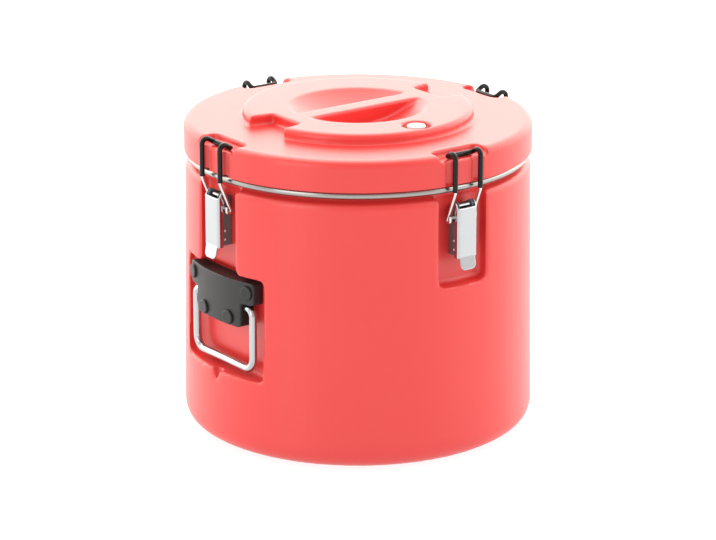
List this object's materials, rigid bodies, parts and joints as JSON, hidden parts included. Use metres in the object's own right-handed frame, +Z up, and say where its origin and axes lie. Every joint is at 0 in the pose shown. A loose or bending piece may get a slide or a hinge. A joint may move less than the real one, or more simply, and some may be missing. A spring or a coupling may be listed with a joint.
{
  "type": "insulated food container",
  "caption": "Round insulated food container with a moulded shell, steel pot and lift-off lid, clamped by wire toggle latches and carried by swinging bail handles.",
  "frame": {"origin": "on the floor under the middle of the body", "axes": "+Z up; the two handles are on the +X and -X sides, the vent is towards -Y; latches on +X, -X, +Y, -Y"},
  "size_m": [0.389, 0.389, 0.3475],
  "materials": {
    "red_moulding": "satin moulded polyethylene",
    "foam": "rigid foam",
    "pot_steel": "satin stainless sheet",
    "bright_steel": "polished stainless",
    "wire_chrome": "bright wire",
    "dark_steel": "dark satin",
    "black_plastic": "fine grain",
    "black_rubber": "smooth",
    "pale_plastic": "smooth"
  },
  "bodies": {
    "container": {"outer_shell": "red_moulding", "body_foam": "foam", "inner_pot": "pot_steel", "right_latch_base": "dark_steel", "right_latch_pin": "bright_steel", "right_latch_rivets": "bright_steel", "back_latch_base": "dark_steel", "back_latch_pin": "bright_steel", "back_latch_rivets": "bright_steel", "left_latch_base": "dark_steel", "left_latch_pin": "bright_steel", "left_latch_rivets": "bright_steel", "front_latch_base": "dark_steel", "front_latch_pin": "bright_steel", "front_latch_rivets": "bright_steel", "right_handle_plate": "black_plastic", "right_handle_rivets": "black_plastic", "left_handle_plate": "black_plastic", "left_handle_rivets": "black_plastic"},
    "lid": {"lid_shell": "red_moulding", "lid_foam": "foam", "lid_liner": "red_moulding", "lid_gasket": "black_rubber", "vent_bush": "pale_plastic"},
    "vent": {"vent_plug": "pale_plastic", "vent_seal": "black_rubber"},
    "right_lever": {"right_latch_lever": "bright_steel"},
    "right_bail": {"right_bail_wire": "wire_chrome", "right_bail_sleeve": "black_rubber"},
    "back_lever": {"back_latch_lever": "bright_steel"},
    "back_bail": {"back_bail_wire": "wire_chrome", "back_bail_sleeve": "black_rubber"},
    "left_lever": {"left_latch_lever": "bright_steel"},
    "left_bail": {"left_bail_wire": "wire_chrome", "left_bail_sleeve": "black_rubber"},
    "front_lever": {"front_latch_lever": "bright_steel"},
    "front_bail": {"front_bail_wire": "wire_chrome", "front_bail_sleeve": "black_rubber"},
    "right_handle": {"right_handle_bar": "bright_steel"},
    "left_handle": {"left_handle_bar": "bright_steel"}
  },
  "joints": [
    {"name": "lid_lift", "type": "slide", "parent": "container", "child": "lid", "axis": [0, 0, 1], "range_m": [0, 0.3]},
    {"name": "vent_lift", "type": "slide", "parent": "lid", "child": "vent", "axis": [0, 0, 1], "range_m": [0, 0.006]},
    {"name": "right_latch", "type": "hinge", "parent": "container", "child": "right_lever", "pos_m": [0.184, 0, 0.279], "axis": [0, -1, 0], "range_deg": [0, 125]},
    {"name": "right_bail_swing", "type": "hinge", "parent": "right_lever", "child": "right_bail", "pos_m": [0.183, 0, 0.2675], "axis": [0, -1, 0], "range_deg": [-157, 0]},
    {"name": "back_latch", "type": "hinge", "parent": "container", "child": "back_lever", "pos_m": [0, 0.184, 0.279], "axis": [1, 0, 0], "range_deg": [0, 125]},
    {"name": "back_bail_swing", "type": "hinge", "parent": "back_lever", "child": "back_bail", "pos_m": [0, 0.183, 0.2675], "axis": [1, 0, 0], "range_deg": [-157, 0]},
    {"name": "left_latch", "type": "hinge", "parent": "container", "child": "left_lever", "pos_m": [-0.184, 0, 0.279], "axis": [0, 1, 0], "range_deg": [0, 125]},
    {"name": "left_bail_swing", "type": "hinge", "parent": "left_lever", "child": "left_bail", "pos_m": [-0.183, 0, 0.2675], "axis": [0, 1, 0], "range_deg": [-157, 0]},
    {"name": "front_latch", "type": "hinge", "parent": "container", "child": "front_lever", "pos_m": [0, -0.184, 0.279], "axis": [-1, 0, 0], "range_deg": [0, 125]},
    {"name": "front_bail_swing", "type": "hinge", "parent": "front_lever", "child": "front_bail", "pos_m": [0, -0.183, 0.2675], "axis": [-1, 0, 0], "range_deg": [-157, 0]},
    {"name": "right_handle_swing", "type": "hinge", "parent": "container", "child": "right_handle", "pos_m": [0.176, 0, 0.163], "axis": [0, -1, 0], "range_deg": [0, 95]},
    {"name": "left_handle_swing", "type": "hinge", "parent": "container", "child": "left_handle", "pos_m": [-0.176, 0, 0.163], "axis": [0, 1, 0], "range_deg": [0, 95]}
  ],
  "couplings": [
    {"joint": "right_bail_swing", "follows": "right_latch", "ratio": -1.25},
    {"joint": "back_bail_swing", "follows": "back_latch", "ratio": -1.25},
    {"joint": "left_bail_swing", "follows": "left_latch", "ratio": -1.25},
    {"joint": "front_bail_swing", "follows": "front_latch", "ratio": -1.25}
  ]
}
